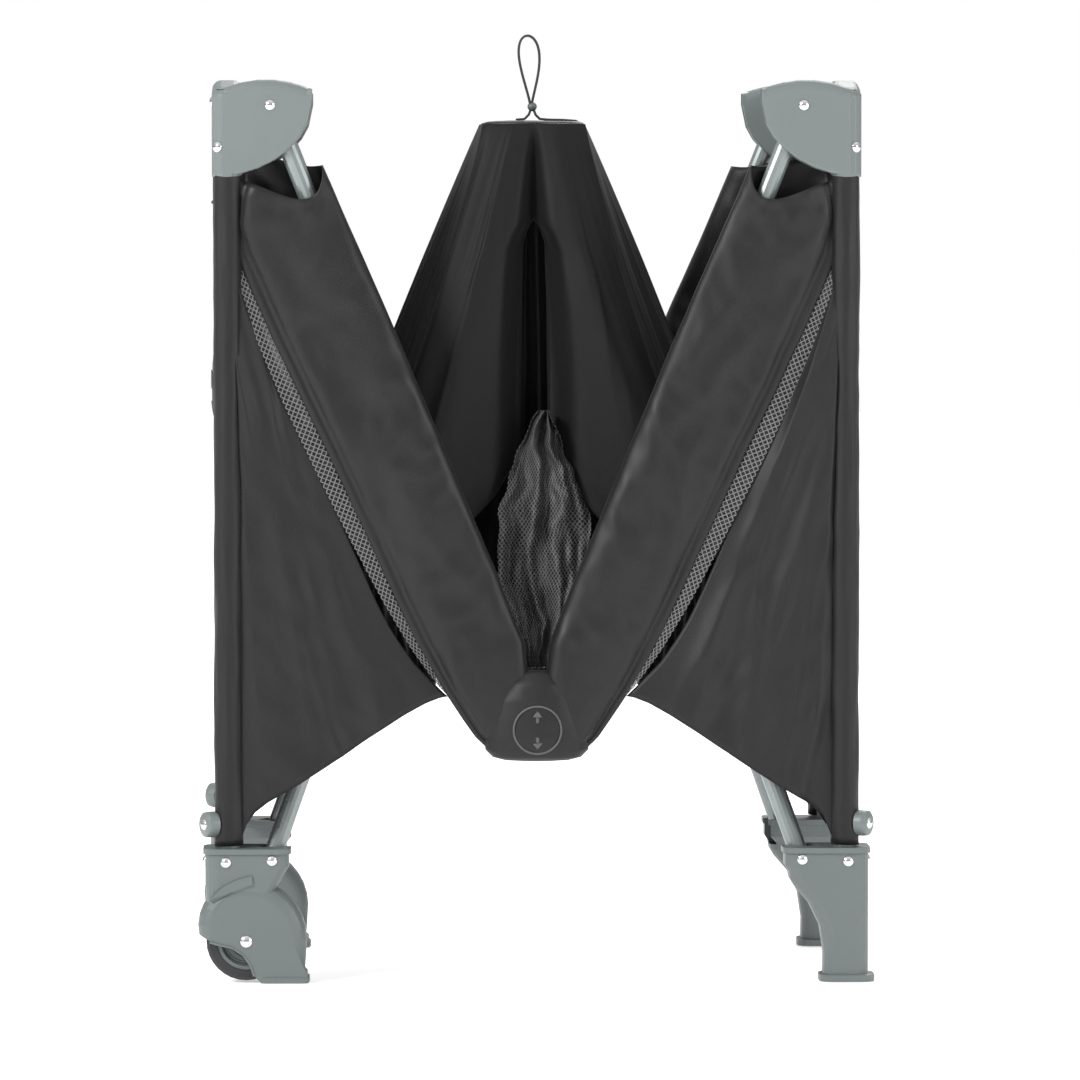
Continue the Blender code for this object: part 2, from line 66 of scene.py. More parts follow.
HUB_X = POST_X - FOOT_ARM * UX - BASE_TUBE * COS * UX
HUB_Y = POST_Y - FOOT_ARM * UY - BASE_TUBE * COS * UY
LONG_LATCH_Z = RAIL_Z - LONG_RAIL * SIN
SHORT_LATCH_Z = RAIL_Z - SHORT_RAIL * SIN
RIDGE_LIFT = 0.03
MIDDLE_LONG = ((0.0, 0.303), (0.022, 0.085, 0.44))
MIDDLE_SHORT = ((0.602, 0.0), (0.222, 0.006, 0.29))

CORNERS = {
    "front_left": (-1, -1),
    "front_right": (1, -1),
    "back_left": (-1, 1),
    "back_right": (1, 1),
}
SIDES = {"front": (0, -1), "back": (0, 1), "left": (-1, 0), "right": (1, 0)}


# Finishes


class Nodes:
    """A material's node tree, with short ways to add and join nodes."""

    def __init__(self, name):
        self.material = bpy.data.materials.new(name)
        self.material.use_nodes = True
        self.tree = self.material.node_tree
        self.shader = self.tree.nodes["Principled BSDF"]

    def add(self, kind, inputs=None, **settings):
        node = self.tree.nodes.new(kind)
        for key, value in settings.items():
            setattr(node, key, value)
        for key, value in (inputs or {}).items():
            if isinstance(value, bpy.types.NodeSocket):
                self.tree.links.new(value, node.inputs[key])
            else:
                node.inputs[key].default_value = value
        return node

    def maths(self, operation, first, second=0.0):
        node = self.add("ShaderNodeMath", {0: first, 1: second}, operation=operation)
        return node.outputs[0]

    def spread(self, value, low, high, low_out, high_out):
        inputs = {0: value, 1: low, 2: high, 3: low_out, 4: high_out}
        return self.add("ShaderNodeMapRange", inputs).outputs[0]

    def noise(self, where, scale, detail=3.0, roughness=0.55):
        inputs = {"Vector": where, "Scale": scale, "Detail": detail, "Roughness": roughness}
        return self.add("ShaderNodeTexNoise", inputs).outputs["Fac"]

    def place(self, kind="Object"):
        return self.add("ShaderNodeTexCoord").outputs[kind]

    def stretched(self, where, scale):
        return self.add("ShaderNodeMapping", {"Vector": where, "Scale": scale}).outputs[0]

    def bump(self, height, strength, distance, normal=None):
        inputs = {"Height": height, "Strength": strength, "Distance": distance}
        if normal is not None:
            inputs["Normal"] = normal
        return self.add("ShaderNodeBump", inputs).outputs[0]

    def tone(self, value, dark, light):
        """A colour between dark and light."""
        node = self.add("ShaderNodeMix", data_type="RGBA")
        self.tree.links.new(value, node.inputs[0])
        node.inputs[6].default_value = (*dark, 1)
        node.inputs[7].default_value = (*light, 1)
        return node.outputs[2]

    def set(self, **values):
        for key, value in values.items():
            socket = self.shader.inputs[key.replace("_", " ")]
            if isinstance(value, bpy.types.NodeSocket):
                self.tree.links.new(value, socket)
            else:
                socket.default_value = value


def shade(colour, share):
    return tuple(c * share for c in colour)


def moulded(name, colour, rough=0.42):
    """Matt moulded plastic with a fine grain and slight wear."""
    n = Nodes(name)
    where = n.place()
    cloud = n.noise(where, 14, 4)
    grain = n.noise(where, 1400, 2)
    n.set(Base_Color=n.tone(cloud, shade(colour, 0.92), shade(colour, 1.06)))
    n.set(Roughness=n.spread(cloud, 0.3, 0.7, rough - 0.05, rough + 0.07))
    n.set(Normal=n.bump(grain, 0.12, 0.0003))
    return n.material


def coated(name, colour, rough, metallic):
    """Painted or plated metal."""
    n = Nodes(name)
    where = n.place()
    cloud = n.noise(where, 25, 4)
    n.set(Base_Color=n.tone(cloud, shade(colour, 0.93), shade(colour, 1.05)))
    n.set(Roughness=n.spread(cloud, 0.3, 0.7, rough - 0.05, rough + 0.08), Metallic=metallic)
    n.set(Normal=n.bump(n.noise(where, 600, 2), 0.05, 0.0002))
    return n.material


def woven(name, colour, rough=0.5, thread=1300.0, gloss=0.4):
    """Fine woven polyester: a thread relief, soft creases and a little sheen."""
    n = Nodes(name)
    uv = n.place("UV")
    where = n.place()
    cloud = n.noise(where, 9, 5)
    wave = {"Vector": uv, "Scale": thread / 6.28}
    warp = n.add("ShaderNodeTexWave", wave, bands_direction="X").outputs["Fac"]
    weft = n.add("ShaderNodeTexWave", wave, bands_direction="Y").outputs["Fac"]
    weave = n.maths("MULTIPLY", warp, weft)
    n.set(Base_Color=n.tone(cloud, shade(colour, 0.86), shade(colour, 1.12)))
    n.set(Roughness=n.spread(cloud, 0.3, 0.7, rough - 0.05, rough + 0.08))
    n.set(Sheen_Weight=0.05, Sheen_Roughness=0.4, Specular_IOR_Level=gloss)
    crease = n.noise(n.stretched(where, (1.0, 1.0, 0.5)), 15, 3, 0.45)
    relief = n.bump(crease, 0.35, 0.010)
    n.set(Normal=n.bump(weave, 0.25, 0.0003, relief))
    return n.material


def netting(name, thread_colour, hole_shade_colour, period=0.0042, clear=0.55):
    """Diamond mesh: pale threads round holes that let some of what is behind show. The rest of each hole is
    painted dark, as painted shade for the shaded inside behind it.
    """
    n = Nodes(name)
    parts = n.add("ShaderNodeSeparateXYZ", {0: n.place("UV")})
    across, along = parts.outputs[0], n.maths("MULTIPLY", parts.outputs[1], 0.8)
    waves = []
    for operation in ("ADD", "SUBTRACT"):
        turns = n.maths("MULTIPLY", n.maths(operation, across, along), 1 / period)
        saw = n.maths("FRACT", turns)
        waves.append(n.maths("ABSOLUTE", n.maths("SUBTRACT", saw, 0.5)))
    top = n.maths("MAXIMUM", waves[0], waves[1])
    thread = n.spread(top, 0.34, 0.40, 0.0, 1.0)
    n.set(Base_Color=n.tone(thread, hole_shade_colour, thread_colour), Roughness=0.55)
    n.set(Alpha=n.spread(thread, 0.0, 1.0, 1.0 - clear, 1.0))
    n.set(Normal=n.bump(thread, 0.5, 0.0006))
    return n.material


PLASTIC = moulded("casting_plastic", (0.152, 0.176, 0.172))
FOOT_PLASTIC = moulded("foot_plastic", (0.122, 0.142, 0.139))
STEEL = coated("tube_paint", (0.26, 0.29, 0.288), 0.3, 0.45)
CHROME = coated("rivet_chrome", (0.74, 0.74, 0.75), 0.16, 1.0)
RUBBER = moulded("tyre_rubber", (0.022, 0.023, 0.024), 0.62)
FABRIC = woven("black_cloth", (0.0090, 0.0090, 0.0094), gloss=0.34)
PADDING = woven("cover_cloth", (0.0097, 0.0097, 0.0101), 0.46, gloss=0.34)
# Floor cloth: the black cloth's own dark colour, made darker still as painted shade for the recessed floor
# tent.
SHADED_FLOOR_CLOTH = woven("floor_cloth", (0.0064, 0.0064, 0.0067), 0.5, gloss=0.20)
WEBBING = woven("webbing", (0.030, 0.030, 0.031), 0.6, 2600.0)
# The second colour is painted shade: the dark inside seen through the mesh's holes.
NET = netting("side_mesh", (0.135, 0.135, 0.135), (0.012, 0.012, 0.012))
# The wall mesh again, with darker threads and less clear dark holes: painted shade for where it hangs in the
# recess behind the latch.
SHADED_HANGING_NET = netting("hanging_mesh", (0.105, 0.105, 0.105), (0.016, 0.016, 0.016), 0.0038, 0.25)
PRINT = moulded("printed_mark", (0.075, 0.075, 0.075), 0.5)


# Meshes


def finish_mesh(name, mesh, material, thickness=0.0):
    mesh.materials.append(material)
    mesh.shade_smooth()
    obj = bpy.data.objects.new(name, mesh)
    bpy.context.scene.collection.objects.link(obj)
    if thickness:
        solid = obj.modifiers.new("cloth", "SOLIDIFY")
        solid.thickness = thickness
        solid.offset = 0.0
    return obj


def surface(name, points, material, closed=False, thickness=0.0):
    """A grid of points as one smooth sheet, with metric UVs. closed joins the last column to the first."""
    points = np.asarray(points, float)
    rows, columns = points.shape[:2]
    mesh = bpy.data.meshes.new(name)
    quads = []
    last = columns if closed else columns - 1
    for i in range(rows - 1):
        for j in range(last):
            k = (j + 1) % columns
            quads.append((i * columns + j, i * columns + k, (i + 1) * columns + k, (i + 1) * columns + j))
    mesh.from_pydata(points.reshape(-1, 3).tolist(), [], quads)
    along = np.linalg.norm(np.diff(points, axis=0), axis=2).mean(axis=1)
    across = np.linalg.norm(np.diff(points, axis=1), axis=2).mean(axis=0)
    v = np.concatenate([[0], np.cumsum(along)])
    u = np.concatenate([[0], np.cumsum(across), [across.sum() + across.mean()]])
    flat = []
    for i in range(rows - 1):
        for j in range(last):
            flat += [u[j], v[i], u[j + 1], v[i], u[j + 1], v[i + 1], u[j], v[i + 1]]
    mesh.uv_layers.new(name="UVMap").data.foreach_set("uv", np.array(flat, np.float32))
    return finish_mesh(name, mesh, material, thickness)


def turned(name, profile, place, material, sides=32):
    """A solid turned about its own Z from (radius, z) points, set in place by a matrix."""
    rings = []
    for radius, z in profile:
        turns = [2 * math.pi * i / sides for i in range(sides)]
        rings.append([place @ Vector((radius * math.cos(t), radius * math.sin(t), z)) for t in turns])
    return surface(name, [[tuple(p) for p in ring] for ring in rings], material, closed=True)


def joined(name, objects):
    """One object from several that share a material."""
    with bpy.context.temp_override(
        active_object=objects[0], selected_editable_objects=objects, selected_objects=objects
    ):
        bpy.ops.object.join()
    objects[0].name = name
    return objects[0]


def flipped(points, sx, sy):
    return np.asarray(points) * np.array([sx, sy, 1.0])


def creases(p, seed, across, along, amount):
    """Soft, long folds: noise that is short across the folds and long along them, with a sharper crest."""
    where = Vector((p[0] * across, p[1] * across + seed, p[2] * along))
    smooth = noise.noise(where)
    crest = 1 - abs(noise.noise(where * 1.7 + Vector((seed, 3.1, 7.7)))) * 2
    return amount * (0.6 * smooth + 0.4 * (crest - 0.5))


def set_weights(obj):
    """Bakes obj's placement into its mesh."""
    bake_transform(obj)
    return obj


def cloth(obj):
    """Returns a sheet as it is, at its modelled size.

    The real cut is larger. The area test compares the mesh with itself here, so it can't fail.
    """
    return obj


def ease(value):
    value = np.clip(value, 0, 1)
    return value * value * (3 - 2 * value)


# Hardware


def dress_cad():
    """Puts the finishes on the CAD pieces that show, and a small round on their edges."""
    finishes = {
        "post": STEEL, "long_rail": STEEL, "short_rail": STEEL, "base_tube": STEEL,
        "corner": PLASTIC, "foot": FOOT_PLASTIC, "latch": FOOT_PLASTIC, "button": FOOT_PLASTIC,
        "rim": FOOT_PLASTIC, "base_hub": FOOT_PLASTIC, "axle": CHROME, "tyre": RUBBER,
        "pull_strap": WEBBING, "side_cloth": FABRIC, "end_cloth": FABRIC, "floor_cloth": SHADED_FLOOR_CLOTH,
        "long_cover": PADDING, "short_cover": PADDING,
    }
    for name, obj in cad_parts.items():
        material = next(m for key, m in finishes.items() if name.startswith(key))
        obj.data.materials.clear()
        obj.data.materials.append(material)
        if name.startswith(("corner", "foot")):
            bevel = obj.modifiers.new("edge", "BEVEL")
            bevel.width = 0.0013
            bevel.segments = 2
            bevel.limit_method = "ANGLE"
            bevel.angle_limit = math.radians(40)
            bevel.harden_normals = False


def facing(position, direction):
    """A frame at position whose Z points along direction."""
    turn = Vector((0, 0, 1)).rotation_difference(Vector(direction)).to_matrix().to_4x4()
    turn.translation = Vector(position)
    return turn


RIVET = [
    (0.0, 0.0025), (0.0015, 0.0024), (0.0029, 0.0018),
    (0.0040, 0.0010), (0.0047, 0.0003), (0.0047, -0.0004),
]


def rivets(corner, sx, sy):
    """Chrome rivet heads on a corner's casting and foot, on both outward faces."""
    x, y = sx * POST_X, sy * POST_Y
    arm, foot = 0.0130, 0.0190
    foot_x = 0.040 * UX
    spots = [
        ((x - sx * CORNER_ARM, y + sy * arm, RAIL_Z - 0.0035), (0, sy, 0)),
        ((x - sx * CORNER_ARM, y - sy * arm, RAIL_Z), (0, -sy, 0)),
        ((x + sx * 0.0085, y + sy * 0.0098, 0.7005), (sx * 0.65, sy * 0.76, 0)),
        ((x + sx * arm, y - sy * CORNER_ARM, RAIL_Z), (sx, 0, 0)),
        ((x - sx * arm, y - sy * CORNER_ARM, RAIL_Z), (-sx, 0, 0)),
        ((x - sx * foot_x, y + sy * foot, 0.1030), (0, sy, 0)),
        ((x + sx * 0.0022, y + sy * foot, 0.1015), (0, sy, 0)),
        ((x + sx * 0.0197, y - sy * 0.004, 0.1015), (sx, 0, 0)),
    ]
    heads = [turned("rivet", RIVET, facing(p, n), CHROME, 20) for p, n in spots]
    if sx < 0:
        axle = [(r * 1.15, z) for r, z in RIVET]
        for way in (1, -1):
            spot = (x + 0.0147, y + way * foot, 0.035)
            heads.append(turned("rivet", axle, facing(spot, (0, way, 0)), CHROME, 20))
    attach(joined("rivets_" + corner, heads), "post_" + corner)


def snap_disc(corner, sx, sy):
    """The plastic button that pins the sleeve's lower corner beside the post, with its rivet."""
    spot = Vector((sx * (POST_X + 0.0135), sy * (POST_Y + 0.003), 0.1325))
    normal = Vector((0.88 * sx, 0.475 * sy, 0)).normalized()
    profile = [(0.0, 0.0080), (0.0092, 0.0080), (0.0105, 0.0070), (0.0109, 0.0035), (0.0109, -0.002)]
    disc = turned("snap_" + corner, profile, facing(spot, normal), PLASTIC)
    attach(disc, "post_" + corner)
    head = turned("snap_rivet_" + corner, RIVET, facing(spot + normal * 0.0080, normal), CHROME, 20)
    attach(head, "post_" + corner)


def tube_along(name, path, radius, material, sides=10):
    """A thin round bead along a path in a plane across Y."""
    rings = []
    for i, point in enumerate(path):
        ahead = Vector(path[min(i + 1, len(path) - 1)]) - Vector(path[max(i - 1, 0)])
        side = ahead.normalized().cross(Vector((0, 1, 0)))
        turns = [2 * math.pi * k / sides for k in range(sides)]
        offsets = [radius * (math.cos(t) * side + Vector((0, math.sin(t), 0))) for t in turns]
        rings.append([tuple(Vector(point) + offset) for offset in offsets])
    return surface(name, rings, material, closed=True)


HOOD_LIP = [
    (-0.0160, 0.0350), (-0.0113, 0.0333), (0.0030, 0.0300),
    (0.0125, 0.0238), (0.0185, 0.0152), (0.0214, 0.0062),
]


def hood_lip(corner, sy):
    """The raised bead along the open edge of a wheel hood, on both of its faces."""
    beads = []
    for way in (-1, 1):
        path = [(-POST_X + x, sy * POST_Y + way * 0.0190, z) for x, z in HOOD_LIP]
        beads.append(tube_along("bead", path, 0.0011, FOOT_PLASTIC))
    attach(joined("hood_bead_" + corner, beads), "post_" + corner)


def wheel_detail(side, sy):
    """Raised rings on both faces of a wheel's rim."""
    centre = Vector((-POST_X + 0.0147, sy * POST_Y, 0.035))
    made = []
    for way in (1, -1):
        place = facing(centre, (0, way, 0))
        for radius in (0.0145, 0.0185):
            turns = np.linspace(-0.5, 3.6, 7)
            profile = [(radius + 0.001 * math.cos(t), 0.006 + 0.001 * math.sin(t)) for t in turns]
            made.append(turned("ring", profile, place, FOOT_PLASTIC))
    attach(joined("wheel_rings_" + side, made), "wheel_" + side)


# Post sleeves


def sleeve(corner, sx, sy, seed):
    """Cloth sewn round a post, a little loose."""
    rows, columns = 90, 28
    points = np.zeros((rows, columns, 3))
    for i in range(rows):
        share = i / (rows - 1)
        z = 0.684 + (0.1140 - 0.684) * share
        for j in range(columns):
            turn = 2 * math.pi * j / columns
            away = Vector((math.cos(turn), math.sin(turn), 0))
            radius = 0.0116 + creases((away.x * 0.3, away.y * 0.3, z), seed, 6, 11, 0.0016)
            low = 0.001 * max(0.0, share - 0.95) / 0.05 * (0.5 - 0.5 * away.x)
            points[i, j] = (POST_X + radius * away.x, POST_Y + radius * away.y, z + low)
    obj = surface("sleeve_" + corner, flipped(points, sx, sy), FABRIC, closed=True, thickness=0.0008)
    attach(obj, "post_" + corner)
    cloth(obj)


# Rail covers


def on_rail(s, d, side, start):
    """Where a point s along a rail and d out from it lies, in (outward, height). side is the post's place."""
    inward = CORNER_ARM + s * COS - d * SIN
    return side - inward, start - s * SIN - d * COS


LONG_COVER = {
    "half": 0.0168,
    "inner_s": (0.066, 0.578), "outer_s": (0.051, 0.586),
    "inner_d": (
        [0.064, 0.116, 0.217, 0.328, 0.440, 0.500, 0.530, 0.560, 0.580],
        [-0.0210, -0.0225, -0.0265, -0.0290, -0.0310, -0.0310, -0.0230, -0.0130, -0.0060],
    ),
    "outer_d": (
        [
            0.051, 0.066, 0.084, 0.109, 0.144, 0.190, 0.237, 0.285, 0.332,
            0.379, 0.425, 0.472, 0.512, 0.542, 0.560, 0.575, 0.586,
        ],
        [
            0.050, 0.0610, 0.0715, 0.0735, 0.0722, 0.0703, 0.0673, 0.0636, 0.0605,
            0.0577, 0.0554, 0.0518, 0.0460, 0.0395, 0.0350, 0.0280, 0.0175,
        ],
    ),
}
SHORT_COVER = {
    "half": 0.0115,
    "inner_s": (0.074, 0.262), "outer_s": (0.052, 0.268),
    "inner_d": ([0.080, 0.262], [-0.019, -0.025]),
    "outer_d": ([0.050, 0.075, 0.110, 0.268], [0.036, 0.046, 0.048, 0.030]),
}


def cover(shape, length_rows, seed):
    """Points of a padded cover, in (outward, across, height): a puffed sleeve, flat at its outer seam."""
    columns = 56
    points = np.zeros((length_rows, columns, 3))
    side = POST_X if shape is LONG_COVER else POST_Y
    for i in range(length_rows):
        share = i / (length_rows - 1)
        s_in = shape["inner_s"][0] + (shape["inner_s"][1] - shape["inner_s"][0]) * share
        s_out = shape["outer_s"][0] + (shape["outer_s"][1] - shape["outer_s"][0]) * share
        d_in = float(np.interp(s_in, *shape["inner_d"]))
        d_out = float(np.interp(s_out, *shape["outer_d"]))
        for j in range(columns):
            turn = 2 * math.pi * (j + 0.5) / columns
            v = (1 - math.cos(turn)) / 2
            way = 1 if math.sin(turn) > 0 else -1
            s = s_in + (s_out - s_in) * v
            d = d_in + (d_out - d_in) * v
            lip, lean = (0.026, 0.62) if way > 0 else (-0.017, 1.7)
            s += lip * math.sin(math.pi * v ** lean) ** 1.3 * max(0.0, 1 - share * 6) ** 2
            puff = shape["half"] * (1 - 0.38 * v) * abs(math.sin(turn)) ** 0.55
            puff -= 0.0034 * math.exp(-(((v - 0.885) / 0.016) ** 2))
            if v > 0.90:
                puff = min(puff, 0.0030 + 0.0012 * math.exp(-(((v - 0.955) / 0.02) ** 2)))
            if share < 0.022:
                puff += 0.0008
            puff *= 1 + 0.08 * max(0.0, (share - 0.8) / 0.2)
            along = s * 1.0
            loose = 1 + 0.8 * max(0.0, 1 - share * 6)
            fold = loose * creases((d * 1.0, way * 0.7, along), seed, 22, 9, 0.0052)
            fold += creases((d * 0.4 + along * 0.5, way * 0.9, along - d), seed + 5, 30, 20, 0.0030)
            round_tube = math.sqrt(max(0.0, 0.0102 ** 2 - d * d))
            puff += fold * min(1.0, abs(math.sin(turn)) * 1.6) * (1 - 0.75 * (v > 0.9))
            puff = max(0.0018, round_tube, puff)
            out, z = on_rail(s, d, side, RAIL_Z)
            edge = creases((along * 0.5, 0.2, along), seed + 9, 9, 14, 0.0022) * (v * 2 - 1)
            points[i, j] = (out - edge * 0.4, way * puff, z)
    return points


def long_cover(corner, sx, sy, seed):
    points = cover(LONG_COVER, 120, seed)
    points[..., 1] += POST_Y
    obj = surface("rail_cover_" + corner, flipped(points, sx, sy), PADDING, closed=True, thickness=0.0012)
    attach(obj, "long_rail_" + corner)
    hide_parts("long_cover_" + corner)


def short_cover(corner, sx, sy, seed):
    points = cover(SHORT_COVER, 60, seed)
    points[..., 1] += POST_X
    points = points[..., [1, 0, 2]]
    obj = surface("end_rail_cover_" + corner, flipped(points, sx, sy), PADDING, closed=True, thickness=0.0012)
    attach(obj, "short_rail_" + corner)
    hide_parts("short_cover_" + corner)


# Latch covers

LATCH_ROWS = [
    # height above the latch's pivots, half width, half thickness
    (0.0390, 0.0080, 0.0080),
    (0.0375, 0.0145, 0.0130),
    (0.0280, 0.0250, 0.0190),
    (0.0140, 0.0365, 0.0210),
    (-0.0030, 0.0415, 0.0215),
    (-0.0180, 0.0440, 0.0210),
    (-0.0280, 0.0430, 0.0190),
    (-0.0340, 0.0370, 0.0150),
    (-0.0366, 0.0270, 0.0095),
    (-0.0374, 0.0130, 0.0045),
]


def latch_size(height):
    rows = LATCH_ROWS[::-1]
    heights = [row[0] for row in rows]
    return [float(np.interp(height, heights, [row[k] for row in rows])) for k in (1, 2)]


def latch_front(x, height):
    """How far out the latch cover's face stands at a place on it."""
    half, deep = latch_size(height)
    return deep * max(0.0, 1 - abs(x / half) ** 2.4) ** 0.5


def latch_cover(side, sx, sy, seed):
    flat = 1.0 if sy else 0.70
    crown, body = np.linspace(0.0390, 0.0375, 3), np.linspace(0.035, -0.0340, 36)
    heights = np.concatenate([crown, body, [-0.0356, -0.0366, -0.0372, -0.0374]])
    columns = 64
    points = np.zeros((len(heights), columns, 3))
    for i, height in enumerate(heights):
        half, deep = latch_size(height)
        if sx and -0.022 < height < 0.020:
            half = max(half, 0.0425)
        for j in range(columns):
            turn = 2 * math.pi * j / columns
            x = half * math.cos(turn)
            x = math.copysign(half * abs(math.cos(turn)) ** 0.85, x)
            y = math.copysign(deep * max(0.0, 1 - abs(x / half) ** 2.4) ** 0.5, math.sin(turn))
            fold = creases((x, math.copysign(0.5, y), height), seed, 34, 16, 0.0020)
            points[i, j] = (x, flat * (y + math.copysign(fold, y)), height)
    placed = placed_on_side(points, sx, sy)
    obj = surface("latch_cover_" + side, placed, PADDING, closed=True, thickness=0.0008)
    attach(obj, "latch_" + side)


def placed_on_side(points, sx, sy):
    """Turns (along, outward, height) points into place on one side's latch."""
    points = np.asarray(points, float)
    out = np.zeros_like(points)
    if sy:
        out[..., 0] = points[..., 0]
        out[..., 1] = sy * (POST_Y + points[..., 1])
        out[..., 2] = LONG_LATCH_Z + points[..., 2]
    else:
        out[..., 1] = points[..., 0]
        out[..., 0] = sx * (POST_X + points[..., 1])
        out[..., 2] = SHORT_LATCH_Z + points[..., 2]
    return out


# distance from the ring's middle and half width, along an arrow of the mark
ARROW = (
    (0.0060, 0.0013), (0.0085, 0.0013), (0.0110, 0.0013), (0.0110, 0.0044),
    (0.0135, 0.0023), (0.0160, 0.0002),
)


def mark(side, sx, sy):
    """A printed ring with an arrow up and an arrow down, on a latch cover's outer face."""
    centre, radius = -0.0105, 0.0200
    flat = 1.0 if sy else 0.70
    rows = []
    for width in (-0.0008, 0.0008):
        ring = []
        for turn in np.linspace(0, 2 * math.pi, 73)[:-1]:
            x = (radius + width) * math.cos(turn)
            height = centre + (radius + width) * math.sin(turn)
            ring.append((x, flat * latch_front(x, height) + 0.0013, height))
        rows.append(ring)
    made = [surface("ring", placed_on_side(rows, sx, sy), PRINT, closed=True, thickness=0.0006)]
    for way in (1, -1):
        arrow = []
        for step, half in ARROW:
            row = []
            for x in np.linspace(-half, half, 5):
                height = centre + way * step
                row.append((x, flat * latch_front(x, height) + 0.0013, height))
            arrow.append(row)
        made.append(surface("arrow", placed_on_side(arrow, sx, sy), PRINT, thickness=0.0006))
    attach(joined("latch_mark_" + side, made), "latch_" + side)


# Long side walls


def cover_edge(s, extra):
    """A point past the long cover's outer edge, in (inward, height)."""
    d = float(np.interp(s, *LONG_COVER["outer_d"])) + extra
    return np.array([CORNER_ARM + s * COS - d * SIN, RAIL_Z - s * SIN - d * COS])


WALL_POST = (np.array([0.004, 0.668]), np.array([0.004, 0.117]))
LOWER_EDGE_X = [0.004, 0.010, 0.018, 0.033, 0.059, 0.081, 0.103, 0.125, 0.146, 0.165, 0.178, 0.190, 0.222]
LOWER_EDGE_Z = [
    0.115, 0.119, 0.139, 0.151, 0.166, 0.180, 0.1945,
    0.2095, 0.2230, 0.2335, 0.2385, 0.2400, 0.2400,
]


def mesh_line(q):
    """Where black cloth gives way to mesh beside the long cover, from its top (0) to its foot (1)."""
    s = 0.060 + 0.457 * q
    return cover_edge(s, 0.0002 + 0.0160 * math.sin(math.pi * min(1.0, q * 0.98 + 0.02)) ** 0.75)


def tucked_line(q):
    return cover_edge(0.060 + 0.457 * q, -0.007)


def long_wall(corner, sx, sy, seed):
    """The black part of a half wall, gathered between its post and its rail's cover."""
    rows, columns = 70, 50
    points = np.zeros((rows, columns, 3))
    weights = np.zeros((rows, columns))
    for i in range(rows):
        q = i / (rows - 1)
        post = WALL_POST[0] * (1 - q) + WALL_POST[1] * q
        limit = mesh_line(q) + (tucked_line(q) - mesh_line(q)) * 0.12
        for j in range(columns):
            p = j / (columns - 1)
            flat = post * (1 - p) + limit * p
            straight = WALL_POST[1][1] * (1 - p) + mesh_line(1.0)[1] * p
            droop = np.interp(flat[0], LOWER_EDGE_X, LOWER_EDGE_Z) - straight
            flat[1] += droop * ease(np.array((q - 0.55) / 0.45)) * 1.0
            fold = creases((flat[0] * 1.0 + flat[1] * 0.25, 0.3, flat[1]), seed, 22, 4, 0.0110)
            fold += creases((flat[0] * 0.6 + flat[1] * 0.8, 0.7, flat[0]), seed + 4, 22, 10, 0.0045)
            edge = min(1.0, p * 7) * min(1.0, (1 - p) * 6)
            lift = 0.0065 + fold * edge
            points[i, j] = (POST_X - flat[0], POST_Y + lift * (0.35 + 0.65 * edge), flat[1])
            weights[i, j] = 0.45 * p ** 1.15
    obj = surface("wall_" + corner, flipped(points, sx, sy), FABRIC, thickness=0.0010)
    cloth(obj)
    set_weights(obj)


def long_mesh(corner, sx, sy, seed):
    """The mesh window's part beside the rail, with only a sliver of it showing beside the cover."""
    rows, columns = 60, 16
    points = np.zeros((rows, columns, 3))
    weights = np.zeros((rows, columns))
    for i in range(rows):
        q = i / (rows - 1)
        first, last = mesh_line(q), tucked_line(q)
        for j in range(columns):
            p = j / (columns - 1)
            flat = first * (1 - p) + last * p
            lift = 0.0045 + creases((flat[0], 0.1, flat[1]), seed, 20, 8, 0.002) * (1 - p)
            points[i, j] = (POST_X - flat[0], POST_Y + lift * (1 - p), flat[1])
            weights[i, j] = 0.45 + 0.55 * p
    obj = surface("mesh_" + corner, flipped(points, sx, sy), NET, thickness=0.0006)
    cloth(obj)
    set_weights(obj)


def curtain(corner, sx, sy, seed, low, high, material, name):
    """The wall's lower cloth, in upright pleats behind the panel."""
    rows, columns = 30, 84
    points = np.zeros((rows, columns, 3))
    weights = np.zeros((rows, columns))
    for j in range(columns):
        c = j / (columns - 1)
        x = 0.006 + 0.168 * c
        base = float(np.interp(x, LOWER_EDGE_X, LOWER_EDGE_Z)) + 0.012
        top = min(0.455, 0.60 - 1.2 * x)
        for i in range(rows):
            q = low + (high - low) * i / (rows - 1)
            z = base + (top - base) * q
            pleat = 0.0045 * math.sin(c * 60 + 1.5 * noise.noise(Vector((c * 5, q * 3, seed))))
            edge = min(1.0, c * 12)
            points[i, j] = (POST_X - x, POST_Y - 0.0085 + pleat * edge, z)
            weights[i, j] = c
    obj = surface(name + "_" + corner, flipped(points, sx, sy), material, thickness=0.0008)
    cloth(obj)
    set_weights(obj)


# Short end walls


def short_wall(corner, sx, sy):
    """Half of an end wall: a fan of cloth between its post and its short rail."""
    rows, columns = 50, 60
    points = np.zeros((rows, columns, 3))
    weights = np.zeros((rows, columns))
    rest_span, open_span = math.radians(21.5), math.radians(90)
    for j in range(columns):
        p = j / (columns - 1)
        opened = open_span * p
        reach = 0.622 if opened < math.radians(26) else min(0.622, 0.288 / math.sin(opened))
        rest = rest_span * p
        turn = (opened - rest) / (open_span - rest_span)
        for i in range(rows):
            q = i / (rows - 1)
            radius = 0.05 + (reach - 0.05) * q
            fan = np.array([CORNER_ARM + radius * math.sin(rest), RAIL_Z - radius * math.cos(rest)])
            post = np.array([0.004, RAIL_Z - 0.07 - (0.622 - 0.07) * q])
            mix = float(ease(np.array(p / 0.3)))
            flat = post * (1 - mix) + fan * mix
            inside = min(1.0, p * 6) * min(1.0, (1 - p) * 6) * min(1.0, q * 3)
            pleat = 0.0035 * math.sin(p * 40 + q * 3) * inside
            points[i, j] = (POST_X - 0.004 + pleat, POST_Y - flat[0], flat[1])
            weights[i, j] = turn * mix + (1 - mix) * p * 0.2
    obj = surface("end_wall_" + corner, flipped(points, sx, sy), FABRIC, thickness=0.0008)
    cloth(obj)
    set_weights(obj)


